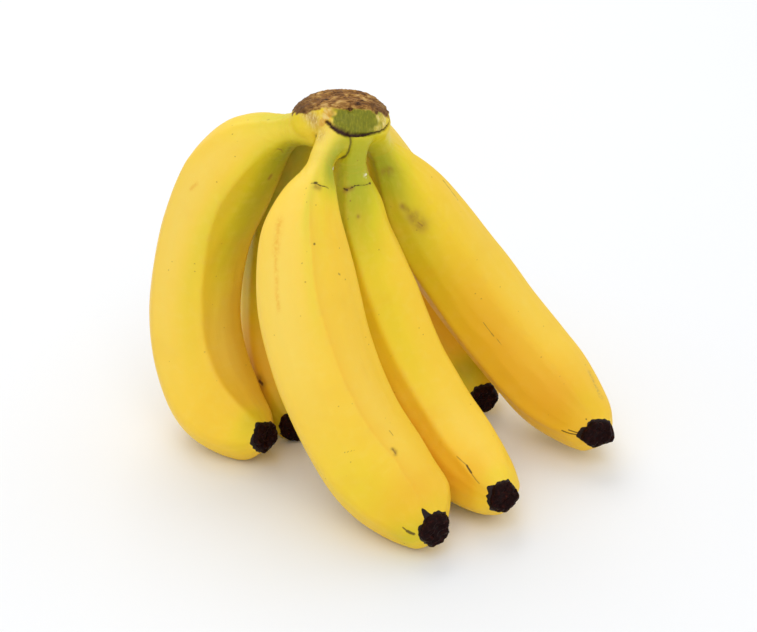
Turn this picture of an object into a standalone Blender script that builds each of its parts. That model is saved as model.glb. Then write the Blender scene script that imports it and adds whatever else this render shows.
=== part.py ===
"""A hand of six ripe bananas, standing on its finger ends with the cut crown on top.

Metres, +Z up. The floor is Z = 0 and the origin is the middle of the footprint.
The crown is one solid with its six short stalks. Each banana is a solid of its own
that starts where its stalk ends, and each ends in a dry dark blossom end.
"""

import bmesh
import bpy
import numpy as np

MM = 0.001

# The midline of each banana in mm, before the hand is centred: where it leaves the
# crown, the two handles that bend it, and the middle of its blossom end. Then the width
# of its stalk and across its thickest place, how far along the midline it starts to
# swell and where it is thickest, and the roll, which turns the five ridges round it.
FINGERS = {
    "left": {
        "root": (-10, -4, 140), "neck_handle": (-62, 23, 144), "end_handle": (-94, 25, 4),
        "end": (-34, -32, 15), "stalk": 13, "width": 38, "swell": (16, 57), "roll": -36,
    },
    "back_left": {
        "root": (-9, 6, 142), "neck_handle": (-27, 48, 120), "end_handle": (-44, 66, 14),
        "end": (-24, -11, 11), "stalk": 13, "width": 34, "swell": (16, 72), "roll": 10,
    },
    "front": {
        "root": (-4, -9, 141), "neck_handle": (-35, -56, 114), "end_handle": (-7, -41, 11.5),
        "end": (35, -97, 14), "stalk": 12, "width": 41, "swell": (17, 74), "roll": -6,
    },
    "middle": {
        "root": (2, -8, 142), "neck_handle": (-8, -12, 104), "end_handle": (25, -6, 3),
        "end": (61, -79, 17), "stalk": 12, "width": 36, "swell": (16, 76), "roll": -11,
    },
    "right": {
        "root": (8, 0, 141), "neck_handle": (16, 18, 108), "end_handle": (79, 27, 9),
        "end": (102, -33, 18), "stalk": 13, "width": 38, "swell": (14, 68), "roll": 24,
    },
    "back_right": {
        "root": (5, 7, 143), "neck_handle": (4, 54, 122), "end_handle": (31, 81, 11),
        "end": (57, 9, 12), "stalk": 13, "width": 35, "swell": (16, 72), "roll": 0,
    },
}

# Where a neck stands out or sinks in: mm along, degrees round, reach along, reach round,
# and how far in mm
BULGES = {
    "front": ((9, 140, 7, 50, 1.2), (19, 300, 6, 50, -1.6), (42, 300, 12, 45, 1.6)),
}

# Along a banana, in mm from its root in the crown
STALK_FLARE = 1.2
STALK_FLARE_REACH = 7.0
STALK_LENGTH = 24.0
SWELL_SOFTNESS = 0.06
TAPER_LENGTH = 48.0
TAPER_POWER = 2.3
PEEL_END_WIDTH = 13.2
GAP = 0.3

# The five ridges, as shares of the radius
RIDGE_HEIGHT = 0.035
RIDGE_SHARPNESS = 0.010
RIDGES = 5

# The blossom end, in mm from the end of the peel, and its width there
BLOSSOM_SETBACK = 2.0
BLOSSOM_PROFILE = ((0.0, 12.8), (2.0, 13.0), (4.4, 11.2), (5.6, 7.6))
BLOSSOM_LOBE = 0.05

# The crown in mm: height, shift to the right, half length and half depth of each level,
# and its middle
CROWN_LEVELS = (
    (131.0, 3.0, 5.0, 5.0),
    (136.0, 2.5, 10.0, 8.0),
    (141.0, 1.0, 15.5, 11.5),
    (146.0, 0.0, 18.5, 11.5),
    (150.0, 0.0, 18.5, 9.5),
    (152.6, 0.0, 17.5, 8.8),
    (153.8, 0.0, 15.5, 7.2),
    (154.0, 0.0, 9.0, 4.0),
)
CROWN_MIDDLE = (-4.5, -1.5)
CROWN_DROOP = 6.5
CROWN_DROOP_REACH = 20.0
CROWN_ROUNDNESS = 2.6

# How finely the solids are drawn, and how near the floor a point snaps to it, in m
SNAP = 0.00005
SAMPLES = 400
AROUND = 20
RINGS = 30
STALK_AROUND = 16
STALK_RINGS = 6
BLOSSOM_AROUND = 15
CROWN_AROUND = 36

# What is taken to the origin, in mm: the middle of the footprint, and a little above
# the lowest bends, so that the weight presses each one flat on the floor
CENTRE = (11.7, -16.1, 0.7)


def midline(finger):
    """Points, directions and distances along a banana's bent midline, in mm."""
    points = [np.array(finger[key], float) for key in ("root", "neck_handle", "end_handle", "end")]
    t = np.linspace(0.0, 1.0, SAMPLES)[:, None]
    line = (
        (1 - t) ** 3 * points[0]
        + 3 * (1 - t) ** 2 * t * points[1]
        + 3 * (1 - t) * t**2 * points[2]
        + t**3 * points[3]
    )
    steps = np.diff(line, axis=0)
    lengths = np.linalg.norm(steps, axis=1)
    travel = np.concatenate([[0.0], np.cumsum(lengths)])
    heading = np.gradient(line, travel, axis=0)
    heading /= np.linalg.norm(heading, axis=1)[:, None]
    return line - np.array(CENTRE), heading, travel


def carried_frame(line, heading, roll):
    """Two directions across the midline that don't spin round it, rolled by an angle.

    The first points to the outside of the bend at the root, and each next one is the
    last one with its part along the midline taken out.
    """
    outward = line[len(line) // 2] - (line[0] + line[-1]) / 2
    across = np.zeros_like(line)
    for index, forward in enumerate(heading):
        outward = outward - forward * (outward @ forward)
        outward = outward / np.linalg.norm(outward)
        across[index] = outward
    beside = np.cross(heading, across)
    angle = np.radians(roll)
    return (
        across * np.cos(angle) + beside * np.sin(angle),
        beside * np.cos(angle) - across * np.sin(angle),
    )


def radius_along(finger, travel):
    """Half the width along a banana: slim stalk, swelling body, blunt tapered end."""
    stalk, widest = finger["stalk"] / 2, finger["width"] / 2
    start, full = finger["swell"]
    share = (travel - start) / (full - start)
    share = np.clip(0.5 * (share + np.hypot(share, SWELL_SOFTNESS)), 0.0, 1.0)
    body = stalk + (widest - stalk) * np.sin(np.pi / 2 * share)
    into_taper = np.clip((travel - travel[-1]) / TAPER_LENGTH + 1.0, 0.0, 1.0)
    tapered = body - (body - PEEL_END_WIDTH / 2) * into_taper**TAPER_POWER
    return tapered + STALK_FLARE * np.exp(-((travel / STALK_FLARE_REACH) ** 2))


def bulge(name, distances, angles):
    """How far a neck stands out of its round shape, in mm, at distances and angles."""
    turn = np.degrees(angles)[None, :]
    along = distances[:, None]
    total = 0.0 * along * turn
    for middle, side, reach_along, reach_round, most in BULGES.get(name, ()):
        off = (turn - side + 180.0) % 360.0 - 180.0
        total += most * np.exp(-(((along - middle) / reach_along) ** 2) - (off / reach_round) ** 2)
    return total


def at_distances(values, travel, distances):
    """Read a column of values, or a set of points, at the given distances."""
    columns = np.atleast_2d(values.T)
    read = np.array([np.interp(distances, travel, column) for column in columns])
    return read[0] if values.ndim == 1 else read.T


def ridged_circle(count):
    """Angles round a section, and how far out its five soft ridges reach there."""
    angles = np.arange(count) * 2 * np.pi / count
    reach = 1.0 + RIDGE_HEIGHT * np.cos(RIDGES * angles) + RIDGE_SHARPNESS * np.cos(2 * RIDGES * angles)
    return angles, reach


def swept_rings(name, start, end, rings, around):
    """Rings of points round the midline between two distances along it, in mm."""
    finger = FINGERS[name]
    line, heading, travel = midline(finger)
    across, beside = carried_frame(line, heading, finger["roll"])
    distances = np.linspace(start, end, rings)
    centre = at_distances(line, travel, distances)
    across = at_distances(across, travel, distances)
    beside = at_distances(beside, travel, distances)
    radius = at_distances(radius_along(finger, travel), travel, distances)
    angles, reach = ridged_circle(around)
    outward = across[:, None] * np.cos(angles)[:, None] + beside[:, None] * np.sin(angles)[:, None]
    far = radius[:, None] * reach + bulge(name, distances, angles)
    return centre[:, None] + outward * far[..., None]


def closed_mesh(name, rings):
    """A closed mesh from rings of points: quads between them, a fan over each end."""
    count, around = rings.shape[:2]
    ends = np.array([rings[0].mean(axis=0), rings[-1].mean(axis=0)])
    points = np.vstack([rings.reshape(-1, 3), ends]) * MM
    faces = []
    for ring in range(count - 1):
        for step in range(around):
            near, far = ring * around, (ring + 1) * around
            turn = (step + 1) % around
            faces.append((near + step, near + turn, far + turn, far + step))
    first, last = count * around, count * around + 1
    top = (count - 1) * around
    for step in range(around):
        turn = (step + 1) % around
        faces.append((first, turn, step))
        faces.append((last, top + step, top + turn))
    mesh = bpy.data.meshes.new(name)
    mesh.from_pydata(points.tolist(), [], faces)
    face_outwards(mesh)
    mesh.shade_smooth()
    mesh.set_sharp_from_angle(angle=np.radians(50))
    return mesh


def face_outwards(mesh):
    """Turn every face of a closed mesh to point out of it."""
    work = bmesh.new()
    work.from_mesh(mesh)
    bmesh.ops.recalc_face_normals(work, faces=work.faces)
    work.to_mesh(mesh)
    work.free()


def press_flat(mesh):
    """Take off what would be under the floor, and close the cut with one flat face."""
    work = bmesh.new()
    work.from_mesh(mesh)
    everything = work.verts[:] + work.edges[:] + work.faces[:]
    cut = bmesh.ops.bisect_plane(
        work, geom=everything, dist=SNAP, plane_co=(0, 0, 0), plane_no=(0, 0, 1), clear_inner=True
    )
    for point in work.verts:
        if abs(point.co.z) < SNAP:
            point.co.z = 0.0
    rim = [edge for edge in cut["geom_cut"] if isinstance(edge, bmesh.types.BMEdge)]
    if rim:
        bmesh.ops.edgeloop_fill(work, edges=rim)
    bmesh.ops.recalc_face_normals(work, faces=work.faces)
    work.to_mesh(mesh)
    work.free()


def material(name, colour, roughness):
    """A plain Principled material."""
    made = bpy.data.materials.new(name)
    made.use_nodes = True
    shader = made.node_tree.nodes["Principled BSDF"]
    shader.inputs["Base Color"].default_value = (*colour, 1.0)
    shader.inputs["Roughness"].default_value = roughness
    shader.inputs["Metallic"].default_value = 0.0
    made.diffuse_color = (*colour, 1.0)
    return made


def add_object(name, mesh, finish):
    """Put a mesh in the scene as a named object with one material."""
    made = bpy.data.objects.new(name, mesh)
    mesh.materials.append(finish)
    bpy.context.scene.collection.objects.link(made)
    return made


def make_banana(name, finger, finish):
    """The fruit in its peel, from its stalk to its blossom end, pressed flat on the floor."""
    length = midline(finger)[2][-1]
    rings = swept_rings(name, STALK_LENGTH + GAP, length - BLOSSOM_SETBACK, RINGS, AROUND)
    mesh = closed_mesh(f"banana_{name}", rings)
    press_flat(mesh)
    return add_object(f"banana_{name}", mesh, finish)


def make_blossom_end(name, finger, finish):
    """The dry stub at the tip: a short lobed plug that carries on along the midline."""
    line, heading, travel = midline(finger)
    across, beside = carried_frame(line, heading, finger["roll"])
    start = np.array([travel[-1] - BLOSSOM_SETBACK])
    centre, forward, across, beside = (
        at_distances(values, travel, start)[0] for values in (line, heading, across, beside)
    )
    angles = np.arange(BLOSSOM_AROUND) * 2 * np.pi / BLOSSOM_AROUND
    lobes = 1.0 + BLOSSOM_LOBE * np.cos(3 * angles)
    outward = across * np.cos(angles)[:, None] + beside * np.sin(angles)[:, None]
    rings = [
        centre + forward * (GAP + reach) + outward * (width / 2 * lobes)[:, None]
        for reach, width in BLOSSOM_PROFILE
    ]
    name = f"blossom_end_{name}"
    return add_object(name, closed_mesh(name, np.array(rings)), finish)


def crown_rings():
    """The cushion as levels of rounded oblongs, arched so that its two ends droop."""
    angles = np.arange(CROWN_AROUND) * 2 * np.pi / CROWN_AROUND
    power = 2.0 / CROWN_ROUNDNESS
    along = np.sign(np.cos(angles)) * np.abs(np.cos(angles)) ** power
    deep = np.sign(np.sin(angles)) * np.abs(np.sin(angles)) ** power
    rings = []
    for height, shift, half_length, half_depth in CROWN_LEVELS:
        x = shift + half_length * along
        y = half_depth * deep
        z = height - CROWN_DROOP * np.abs(x / CROWN_DROOP_REACH) ** 3
        rings.append(np.stack([x + CROWN_MIDDLE[0], y + CROWN_MIDDLE[1], z], axis=1) - np.array(CENTRE))
    return np.array(rings)


def make_crown(finish):
    """The cut cushion and its six stalks, joined into one solid."""
    crown = add_object("crown", closed_mesh("crown", crown_rings()), finish)
    stalks = bpy.data.collections.new("stalks")
    for name in FINGERS:
        rings = swept_rings(name, 0.0, STALK_LENGTH, STALK_RINGS, STALK_AROUND)
        stalk = bpy.data.objects.new(f"stalk_{name}", closed_mesh(f"stalk_{name}", rings))
        stalks.objects.link(stalk)
    join = crown.modifiers.new("join stalks", "BOOLEAN")
    join.operation = "UNION"
    join.operand_type = "COLLECTION"
    join.collection = stalks
    join.solver = "EXACT"
    bpy.context.view_layer.update()
    shaped = crown.evaluated_get(bpy.context.evaluated_depsgraph_get())
    joined = bpy.data.meshes.new_from_object(shaped)
    crown.modifiers.remove(join)
    crown.data = joined
    for stalk in list(stalks.objects):
        bpy.data.objects.remove(stalk)
    bpy.data.collections.remove(stalks)
    return crown


def main():
    for old in list(bpy.data.objects):
        bpy.data.objects.remove(old)
    peel = material("ripe peel", (0.90, 0.62, 0.06), 0.45)
    stalk = material("green stalk", (0.42, 0.40, 0.05), 0.55)
    blossom = material("dry blossom end", (0.02, 0.01, 0.01), 0.7)
    make_crown(stalk)
    for name, finger in FINGERS.items():
        make_banana(name, finger, peel)
        make_blossom_end(name, finger, blossom)


main()
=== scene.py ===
# %% [markdown]
# # A hand of six ripe bananas
#
# The hand stands unheld on its curved finger ends, with the cut crown on top and the
# dark dry blossom ends towards us. Every visible surface is grown from a few numbers in
# millimetres: a bent midline and a width for each banana, levels for the crown, and a
# short list of the marks that make this fruit look picked, carried and ripened.

import bpy
import numpy as np
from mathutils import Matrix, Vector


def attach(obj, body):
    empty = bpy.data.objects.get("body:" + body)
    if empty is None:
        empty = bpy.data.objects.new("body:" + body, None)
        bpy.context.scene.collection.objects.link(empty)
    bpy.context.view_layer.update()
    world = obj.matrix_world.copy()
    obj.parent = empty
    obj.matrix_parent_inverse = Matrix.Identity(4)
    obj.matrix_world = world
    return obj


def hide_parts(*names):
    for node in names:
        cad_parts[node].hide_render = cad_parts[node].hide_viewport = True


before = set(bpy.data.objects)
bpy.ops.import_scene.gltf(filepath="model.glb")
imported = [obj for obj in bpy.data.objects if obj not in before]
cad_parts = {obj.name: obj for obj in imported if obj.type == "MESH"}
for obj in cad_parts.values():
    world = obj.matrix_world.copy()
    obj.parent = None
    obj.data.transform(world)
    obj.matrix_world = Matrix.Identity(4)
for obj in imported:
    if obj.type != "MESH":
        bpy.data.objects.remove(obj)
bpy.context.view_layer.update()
print("solids in the frame:", len(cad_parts))

# %% [markdown]
# ## The camera first
#
# The photo looks down at about 28 degrees from 0.82 m away, through a long lens, so the
# bananas hardly narrow with distance. Setting it first makes every test picture
# comparable with the photo.

# %% Camera at the photo's viewing angle
MM = 0.001
LOOK_DOWN = np.radians(28.0)
LOOK_AT = np.array((-0.0005, 0.0161, 0.0548))
DISTANCE = 0.82
camera = bpy.data.objects.new("camera", bpy.data.cameras.new("camera"))
camera.location = LOOK_AT + DISTANCE * np.array((0.0, -np.cos(LOOK_DOWN), np.sin(LOOK_DOWN)))
camera.rotation_euler = (np.pi / 2 - LOOK_DOWN, 0.0, 0.0)
camera.data.sensor_width = 36.0
camera.data.lens = 93.95
bpy.context.scene.collection.objects.link(camera)
bpy.context.scene.camera = camera
print("camera stands at", tuple(round(v, 3) for v in camera.location))

# %% [markdown]
# ## What the hand is, in numbers
#
# A banana grows downwards from the crown and then bends up towards the light. Four
# points in space are enough for that bend: where it leaves the crown, two handles and
# the middle of its blossom end. Then come the widths of its stalk and of its thickest
# place, how far along it starts to swell and where it is thickest, and the roll, which
# turns the five ridges round it. The seam is where the slim stalk becomes fruit: on the
# front and middle bananas a dark wrinkle marks it. Tip is how far the last centimetre
# has drifted off the curve.

# %% The six fingers, in mm
CENTRE = np.array((11.7, -16.1, 0.7))
FIELDS = ("root", "neck_handle", "end_handle", "end", "tip", "stalk", "width", "swell", "roll", "seam")
FINGERS = {
    "left": (
        (-10, -4, 140), (-62, 23, 144), (-94, 25, 4), (-34, -32, 15), (-0.6, 0, 1.2),
        13, 38, (16, 57), -36, 24.0,
    ),
    "back_left": (
        (-9, 6, 142), (-27, 48, 120), (-44, 66, 14), (-24, -11, 11), (0.3, -0.3, -2.4),
        13, 34, (16, 72), 10, 24.0,
    ),
    "front": (
        (-4, -9, 141), (-35, -56, 114), (-7, -41, 11.5), (35, -97, 14), (-1.6, 0, 0.2),
        12, 41, (17, 74), -6, 24.8,
    ),
    "middle": (
        (2, -8, 142), (-8, -12, 104), (25, -6, 3), (61, -79, 17), (-0.6, 0, 0.2),
        12, 36, (16, 76), -11, 21.0,
    ),
    "right": (
        (8, 0, 141), (16, 18, 108), (79, 27, 9), (102, -33, 18), (-0.3, 0, 0),
        13, 38, (14, 68), 24, 24.0,
    ),
    "back_right": (
        (5, 7, 143), (4, 54, 122), (31, 81, 11), (57, 9, 12), (0, 0, -2.0),
        13, 35, (16, 72), 0, 24.0,
    ),
}
FINGERS = {name: dict(zip(FIELDS, values)) for name, values in FINGERS.items()}
# Where the fruit stands out or sinks in: mm along, degrees round, reach along, reach round, mm
BULGES = {
    "left": (
        (9, 275, 6, 60, 1.5), (20, 262, 9, 60, -1.7), (35, 262, 10, 45, 0.7), (78, 226, 38, 40, -1.0),
        (162, 230, 22, 45, 1.3),
    ),
    "back_left": ((168, 352, 10, 55, 2.4),),
    "front": (
        (12, 155, 7, 55, -2.4), (19, 300, 6, 50, -1.6), (42, 300, 12, 45, 1.6), (62, 146, 34, 40, -0.8),
        (168, 146, 10, 60, 2.4),
    ),
    "middle": ((30, 124, 9, 45, 1.3),),
    "right": (
        (13, 80, 9, 60, -1.5), (20, 205, 10, 60, -1.8), (60, 83, 16, 45, -1.5), (158, 85, 12, 45, -0.8),
        (165, 300, 10, 50, -0.7),
    ),
    "back_right": ((34, 125, 14, 50, -2.4),),
}
print("bananas:", ", ".join(FINGERS))

# %% [markdown]
# ## The bend
#
# A cubic Bezier curve is the simplest line with one smooth bend and free ends. To wrap a
# skin round it, two directions are carried along it that stay square to it and don't
# spin. This loop is over 400 places on a line, never over the points of a mesh.

# %% Midlines and their frames
SAMPLES = 400
DRIFT_FROM, DRIFT_FULL = 14.0, 2.0


def smooth_step(value, start, end):
    """3x^2 - 2x^3, where x runs from 0 at start to 1 at end: a rise that is level at both."""
    share = np.clip((value - start) / (end - start), 0.0, 1.0)
    return share * share * (3.0 - 2.0 * share)


def unit(vectors):
    """Each vector divided by its length."""
    return vectors / np.linalg.norm(vectors, axis=-1, keepdims=True)


def bend(finger):
    """Points (1-t)^3 A + 3(1-t)^2 t B + 3(1-t) t^2 C + t^3 D, and the directions there."""
    a, b, c, d = (np.array(finger[key], float) for key in ("root", "neck_handle", "end_handle", "end"))
    t = np.linspace(0.0, 1.0, SAMPLES)[:, None]
    line = (1 - t) ** 3 * a + 3 * (1 - t) ** 2 * t * b + 3 * (1 - t) * t**2 * c + t**3 * d
    travel = np.concatenate([[0.0], np.linalg.norm(np.diff(line, axis=0), axis=1).cumsum()])
    forward = unit(np.gradient(line, travel, axis=0))
    outward = line[SAMPLES // 2] - (line[0] + line[-1]) / 2
    across = np.zeros_like(line)
    for index, ahead in enumerate(forward):
        outward = unit(outward - ahead * (outward @ ahead))
        across[index] = outward
    beside = np.cross(forward, across)
    roll = np.radians(finger["roll"])
    turned = across * np.cos(roll) + beside * np.sin(roll)
    drift = smooth_step(travel, travel[-1] - DRIFT_FROM, travel[-1] - DRIFT_FULL)
    line = line + drift[:, None] * finger["tip"]
    return {
        "line": line - CENTRE, "forward": forward, "travel": travel, "long": travel[-1],
        "across": turned, "beside": np.cross(forward, turned),
    }


BENDS = {name: bend(finger) for name, finger in FINGERS.items()}
for name, curve in BENDS.items():
    print(f"{name}: {curve['long']:.0f} mm along its midline")

# %% [markdown]
# ## The section
#
# A banana isn't round: five soft ridges run along it, left from the angles of the
# flower. Round the section the radius follows two cosines, one for the five ridges and
# two small ones at twice and three times the rate that sharpen them. The ridges twist a
# little on their way down. Along the fruit it swells from the slim stalk to the body and
# closes like a dome on the blossom end.

# %% Width along a banana, and the ridged section round it
FLARE, FLARE_REACH, SWELL_SOFTNESS = 1.2, 7.0, 0.06
TAPER_LENGTH, TAPER_POWER, END_RADIUS = 48.0, 2.3, 6.9
PEEL_SHORT = 1.8
DOME_LENGTH, CAP_SEAT = 8.0, 6.3
RIDGE_HEIGHT, RIDGE_SHARPNESS, RIDGE_CREST = 0.035, 0.010, 0.004
# The line of the sharpest ridge of a banana: mm along, degrees round
RIDGE_LINES = {
    "front": (
        (26, 240), (37, 233), (47, 228), (65, 225), (85, 220), (102, 218), (127, 215), (149, 210), (178, 216),
    ),
    "left": ((28, 163), (54, 164), (68, 160), (88, 153), (112, 148), (140, 145), (181, 144)),
    "middle": ((31, 228), (49, 218), (71, 213), (126, 209), (159, 214), (176, 224)),
    "right": ((30, 214), (68, 216), (100, 219), (139, 216), (179, 213)),
}


def radius_along(name, along):
    """Stalk plus a quarter sine of swell, less a power of the way into the tip's taper."""
    finger, long = FINGERS[name], BENDS[name]["long"]
    stalk, (start, full) = finger["stalk"] / 2, finger["swell"]
    share = (along - start) / (full - start)
    share = np.clip(0.5 * (share + np.hypot(share, SWELL_SOFTNESS)), 0.0, 1.0)
    body = stalk + (finger["width"] / 2 - stalk) * np.sin(np.pi / 2 * share)
    taper = np.clip((along - long) / TAPER_LENGTH + 1.0, 0.0, 1.0) ** TAPER_POWER
    radius = body - (body - END_RADIUS) * taper + FLARE * np.exp(-((along / FLARE_REACH) ** 2))
    peel_end = long - PEEL_SHORT
    dome = np.clip((along - peel_end) / DOME_LENGTH + 1.0, 0.0, 1.0) ** 3
    return radius - np.maximum(radius - CAP_SEAT, 0.0) * dome * (along <= peel_end + 0.01)


def around(turn, middle):
    """Signed angle from middle to turn, in degrees, the short way round."""
    return (turn - middle + 180.0) % 360.0 - 180.0


def bells(places, along, turn):
    """The sum of a bell for each place: exp(-(s/reach)^2 - (angle/reach)^2) times its amount."""
    total = 0.0 * (along + turn)
    for s0, t0, reach_s, reach_t, most in places:
        total = total + most * np.exp(-(((along - s0) / reach_s) ** 2) - (around(turn, t0) / reach_t) ** 2)
    return total


def ridge_at(name, along):
    """Degrees round of the sharpest ridge, read between the places of its line."""
    places, angles = np.array(RIDGE_LINES.get(name, ((0, 216),)), float).T
    return np.interp(along, places, angles)


def untwisted(name, along, turn):
    """The angle less how far the sharpest ridge has strayed from its fifth of a turn."""
    return turn - ridge_at(name, along) + 72.0 * np.round(ridge_at(name, along).mean() / 72.0)


def reach_round(turn):
    """1 + h cos 5a + s cos 10a + c cos 15a, with a the angle round the section in degrees."""
    angle = np.radians(turn)
    return (
        1.0 + RIDGE_HEIGHT * np.cos(5 * angle) + RIDGE_SHARPNESS * np.cos(10 * angle)
        + RIDGE_CREST * np.cos(15 * angle)
    )


def along_bend(name, key, along):
    """One of a bend's columns of vectors, read at distances along it."""
    curve = BENDS[name]
    return np.stack([np.interp(along, curve["travel"], column) for column in curve[key].T], -1)


def skin(name, along, turn, relief=0.0):
    """Midline plus the outward direction times (radius x reach + bulge + relief), all in mm."""
    angle = np.radians(turn)[..., None]
    line, across, beside = (along_bend(name, key, along) for key in ("line", "across", "beside"))
    reach = radius_along(name, along) * reach_round(untwisted(name, along, turn))
    reach = reach + bells(BULGES.get(name, ()), along, turn) + relief
    return line + (across * np.cos(angle) + beside * np.sin(angle)) * reach[..., None]


def ripples(points, size, seed, count=24):
    """Many plane waves of random direction added up: smooth noise, bumps about size mm apart."""
    random = np.random.default_rng(seed)
    waves = unit(random.normal(size=(count, 3))) * (2 * np.pi / size) * random.uniform(0.6, 1.5, (count, 1))
    shift = random.uniform(0, 2 * np.pi, count)
    return np.sin(points @ waves.T + shift).sum(-1) * np.sqrt(2.0 / count)


print("a 40 mm banana's ridges stand", round(20 * 2 * RIDGE_HEIGHT, 1), "mm above its faces")

# %% [markdown]
# ## Marks
#
# Ripe fruit is never clean. Each mark is a short line on the skin: a half width in mm, then
# places `(mm along, degrees round)`, listed by banana and kind: a bruise is soft and
# olive brown, a scuff is a warm rub, a fleck is a small brown dot or line, a spot is
# nearly black, a crease is the wrinkle where stalk meets fruit, and a scar is dry and grey.

# %% The marks of each banana
MARKS = {
    ("front", "crease"): ((0.5, (25.5, 243), (24.8, 233), (25.2, 221), (24.9, 209), (24.9, 196)),),
    ("front", "bruise"): (
        (1.1, (26, 234), (26.2, 222)), (0.9, (142.2, 205), (144, 202.5), (146.3, 206)),
    ),
    ("front", "spot"): (
        (0.65, (24.9, 236), (24.7, 231)), (0.26, (24.8, 233), (25.2, 221), (24.9, 208)),
        (0.7, (46.3, 224)), (0.4, (172.5, 275), (174.6, 279)), (0.85, (174.8, 280), (176.9, 285)),
        (0.5, (171.3, 325)),
    ),
    ("front", "scuff"): (
        (1.4, (39.6, 278), (44.2, 274.5), (49.4, 274)), (0.8, (49.4, 274), (57.6, 271), (69.4, 270)),
    ),
    ("front", "fleck"): (
        (0.35, (49.1, 233)), (0.4, (53, 239)), (0.6, (57.9, 191), (58.3, 189)), (0.55, (60.7, 181)),
        (0.4, (111.6, 219)), (0.35, (125.7, 189)), (0.4, (129.1, 186)),
        (0.35, (132.2, 194), (135.8, 193)), (0.22, (129.9, 251), (131.4, 240)), (0.4, (139.1, 265)),
        (0.6, (142.5, 205), (145.5, 205)),
    ),
    ("middle", "crease"): (
        (0.5, (21.4, 236), (21.4, 228), (21.4, 215), (20.6, 203), (20.6, 186), (21.1, 168), (21.1, 148)),
    ),
    ("middle", "bruise"): ((1.1, (22.2, 232), (21.2, 211)), (0.8, (32.5, 204))),
    ("middle", "spot"): (
        (0.45, (21.6, 236), (22, 224)),
        (0.26, (21.4, 215), (20.6, 203), (20.6, 186), (21.1, 168), (21.1, 152)),
        (0.75, (21.1, 149), (21.3, 145)), (0.5, (165.5, 214.5), (169.5, 219)),
    ),
    ("middle", "fleck"): (
        (0.55, (26, 217)), (0.4, (74, 210)), (0.4, (94, 215)),
        (0.3, (158.9, 215), (165.3, 214.5), (170.2, 220), (175.1, 226)),
    ),
    ("right", "bruise"): (
        (1.7, (20.4, 196), (21.2, 184), (20.4, 174)), (1.4, (36, 184), (39, 178)),
        (3.0, (42, 176), (46.5, 172.5)),
    ),
    ("right", "fleck"): (
        (0.45, (45, 174), (47.2, 171)), (0.4, (34.5, 204)),
        (0.45, (42, 82), (44.5, 84), (47, 85.5), (53.1, 89)),
        (0.22, (101.8, 178), (109, 178), (117.7, 176)), (0.45, (109, 178), (110.2, 178)),
        (0.45, (151.2, 145)), (0.35, (161.5, 198)),
    ),
    ("right", "scar"): ((1.2, (154.6, 88), (160.5, 92), (168.8, 91)),),
    ("right", "spot"): (
        (0.35, (170.8, 211), (174.9, 212), (179.3, 211)), (0.35, (173.7, 205), (177.5, 206), (180, 208)),
        (0.4, (178.6, 201), (180.1, 207)), (0.45, (177.3, 157)),
    ),
    ("left", "fleck"): (
        (0.35, (20.8, 254), (21.6, 250)), (0.4, (20.3, 150), (19.5, 140), (20.3, 124)),
        (0.4, (35.4, 189)), (0.35, (31.9, 209)), (0.4, (91.4, 195)), (0.5, (95.5, 198)),
        (0.35, (135.5, 197)), (0.35, (149.8, 177)),
    ),
    ("left", "bruise"): ((0.8, (33, 115), (34.9, 116)),),
    ("left", "scuff"): ((0.9, (59, 206), (55.4, 203)),),
    ("back_left", "bruise"): ((2.2, (156.2, 225), (160, 222)),),
    ("back_left", "spot"): ((1.0, (157, 225), (159.5, 222)),),
    ("back_right", "scuff"): ((1.5, (39.5, 202), (62, 211)),),
}
RELIEF = {"crease": -0.40, "spot": -0.12, "fleck": -0.05, "scuff": -0.02, "bruise": -0.10, "scar": -0.08}


def stain(name, kind, along, turn):
    """exp(-(d/w)^2), with d the distance over the skin to the nearest mark of this kind."""
    per_degree = np.radians(1.0) * radius_along(name, along)
    strength = np.zeros(np.broadcast(along, turn).shape)
    for width, *path in MARKS.get((name, kind), ()):
        for (s0, t0), (s1, t1) in zip(path, path[1:] or path):
            x, y = along - s0, around(turn, t0) * per_degree
            dx, dy = s1 - s0, around(t1, t0) * per_degree
            share = np.clip((x * dx + y * dy) / np.maximum(dx * dx + dy * dy, 1e-9), 0.0, 1.0)
            far = np.hypot(x - share * dx, y - share * dy)
            strength = np.maximum(strength, np.exp(-((far / width) ** 2)))
    return strength


print("marks by hand:", sum(len(rows) for rows in MARKS.values()))

# %% [markdown]
# ## Where the peel is still green
#
# Bananas ripen from the middle outwards: the stalks stay green longest, then the hollows
# between the ridges near the neck, and a little by the blossom end. Each green place is
# a bell with a centre, a reach along and a reach round.

# %% Green places: mm along, degrees round, reach along, reach round, amount
GREENS = {
    "left": (
        (18, 100, 20, 60, 0.60), (20, 262, 14, 60, 0.30), (45, 125, 30, 34, 0.42), (60, 100, 45, 34, 0.28),
        (90, 130, 34, 24, 0.25), (80, 166, 55, 14, 0.22), (186, 150, 7, 90, 0.36),
    ),
    "back_left": ((38, 215, 32, 60, 1.00), (92, 225, 42, 50, 0.62), (176, 216, 9, 90, 0.60)),
    "front": (
        (13, 188, 13, 42, 1.00), (34, 238, 12, 9, 0.35), (58, 230, 20, 8, 0.20), (42, 214, 14, 12, 0.15),
        (150, 262, 25, 45, 0.20), (174, 300, 9, 45, 0.40), (177, 215, 4, 80, 0.18),
    ),
    "middle": (
        (12, 190, 18, 100, 0.70), (36, 198, 18, 44, 0.40), (38, 245, 28, 26, 0.40), (80, 238, 30, 22, 0.18),
        (75, 198, 30, 26, 0.22), (112, 198, 26, 20, 0.10), (177, 200, 5, 90, 0.20),
    ),
    "right": (
        (14, 190, 14, 70, 0.50), (26, 195, 24, 50, 0.40), (50, 195, 28, 45, 0.40), (84, 200, 30, 34, 0.25),
        (170, 150, 10, 50, 0.30),
    ),
    "back_right": ((30, 200, 40, 80, 0.50), (174, 205, 10, 60, 0.60)),
}
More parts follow.
